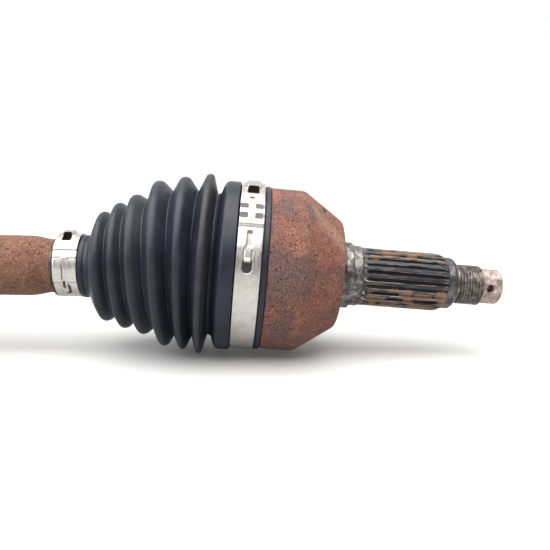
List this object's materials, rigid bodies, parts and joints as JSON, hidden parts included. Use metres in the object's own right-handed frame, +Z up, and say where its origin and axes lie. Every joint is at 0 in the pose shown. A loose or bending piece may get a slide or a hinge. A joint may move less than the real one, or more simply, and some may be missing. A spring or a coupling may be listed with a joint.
{
  "type": "cv axle",
  "caption": "Front-wheel drive axle: shaft with a fixed ball joint and threaded splined stub at the wheel end, a plunging tripod joint at the gearbox end, ribbed rubber boots.",
  "frame": {"origin": "centre of the axle's outline in plan, on the surface that its boots rest on", "axes": "+X along the shaft towards the wheel, +Z up"},
  "size_m": [0.6176, 0.0878, 0.0876],
  "materials": {
    "rusted_forging": "forged steel with a matt skin of brown rust",
    "ground_steel": "hardened and ground, under a film of grease",
    "spring_steel": "blackened spring steel",
    "stainless_band": "satin stainless strip",
    "boot_rubber": "black moulded boot with a soft sheen"
  },
  "bodies": {
    "shaft": {"shaft": "rusted_forging", "inner_race": "ground_steel", "race_circlip": "spring_steel", "outer_small_clamp": "stainless_band", "inner_small_clamp": "stainless_band", "spider": "ground_steel", "spider_circlip": "spring_steel", "needle_ring_2": "ground_steel", "needle_ring_3": "ground_steel", "roller_retainer_2": "spring_steel", "roller_retainer_3": "spring_steel", "outer_boot": "boot_rubber"},
    "first_ball": {"ball_1": "ground_steel"},
    "cage": {"ball_cage": "ground_steel", "ball_2": "ground_steel", "ball_3": "ground_steel", "ball_5": "ground_steel", "ball_6": "ground_steel"},
    "fourth_ball": {"ball_4": "ground_steel"},
    "wheel_end": {"outer_housing": "rusted_forging", "outer_large_clamp": "stainless_band"},
    "tripod_swivel": {"needle_ring_1": "ground_steel", "roller_retainer_1": "spring_steel"},
    "inner_boot": {"inner_boot": "boot_rubber"},
    "gearbox_end": {"inner_housing": "rusted_forging", "inner_large_clamp": "stainless_band", "stub_snap_ring": "spring_steel"},
    "roller_1": {"roller_1": "ground_steel"},
    "roller_2": {"roller_2": "ground_steel"},
    "roller_3": {"roller_3": "ground_steel"}
  },
  "joints": [
    {"name": "outer_swing", "type": "hinge", "parent": "shaft", "child": "first_ball", "pos_m": [0.19617, 0, 0.04161], "axis": [0, 0, 1], "range_deg": [-6, 6]},
    {"name": "outer_bend", "type": "hinge", "parent": "first_ball", "child": "cage", "pos_m": [0.19617, 0, 0.04161], "axis": [0, 1, 0], "range_deg": [-17.4, 13.6], "deforming": ["outer_boot"]},
    {"name": "outer_bend_far_half", "type": "hinge", "parent": "cage", "child": "fourth_ball", "pos_m": [0.19617, 0, 0.04161], "axis": [0, 1, 0], "range_deg": [-17.4, 13.6]},
    {"name": "outer_swing_far_half", "type": "hinge", "parent": "fourth_ball", "child": "wheel_end", "pos_m": [0.19617, 0, 0.04161], "axis": [0.0663, 0, 0.9978], "range_deg": [-6, 6]},
    {"name": "inner_swing", "type": "hinge", "parent": "shaft", "child": "tripod_swivel", "pos_m": [-0.19883, 0, 0.04161], "axis": [0, 0, 1], "range_deg": [-11.5, 11.5]},
    {"name": "inner_bend", "type": "hinge", "parent": "tripod_swivel", "child": "inner_boot", "pos_m": [-0.19883, 0, 0.04161], "axis": [0, 1, 0], "range_deg": [-11.5, 11.5]},
    {"name": "plunge", "type": "slide", "parent": "inner_boot", "child": "gearbox_end", "axis": [1, 0, 0], "range_m": [-0.015, 0.011], "deforming": ["inner_boot"]},
    {"name": "roller_1_roll", "type": "hinge", "parent": "tripod_swivel", "child": "roller_1", "pos_m": [-0.19883, 0, 0.04161], "axis": [0, 0, 1], "range_deg": [-60, 60]},
    {"name": "roller_2_roll", "type": "hinge", "parent": "shaft", "child": "roller_2", "pos_m": [-0.19883, 0, 0.04161], "axis": [0, -0.866, -0.5], "range_deg": [-60, 60]},
    {"name": "roller_3_roll", "type": "hinge", "parent": "shaft", "child": "roller_3", "pos_m": [-0.19883, 0, 0.04161], "axis": [0, 0.866, -0.5], "range_deg": [-60, 60]}
  ],
  "couplings": [
    {"joint": "outer_bend_far_half", "follows": "outer_bend", "ratio": 1},
    {"joint": "outer_swing_far_half", "follows": "outer_swing", "ratio": 1},
    {"joint": "roller_1_roll", "follows": "plunge", "rad_per_m": 61.728},
    {"joint": "roller_2_roll", "follows": "plunge", "rad_per_m": 61.728},
    {"joint": "roller_3_roll", "follows": "plunge", "rad_per_m": 61.728}
  ]
}
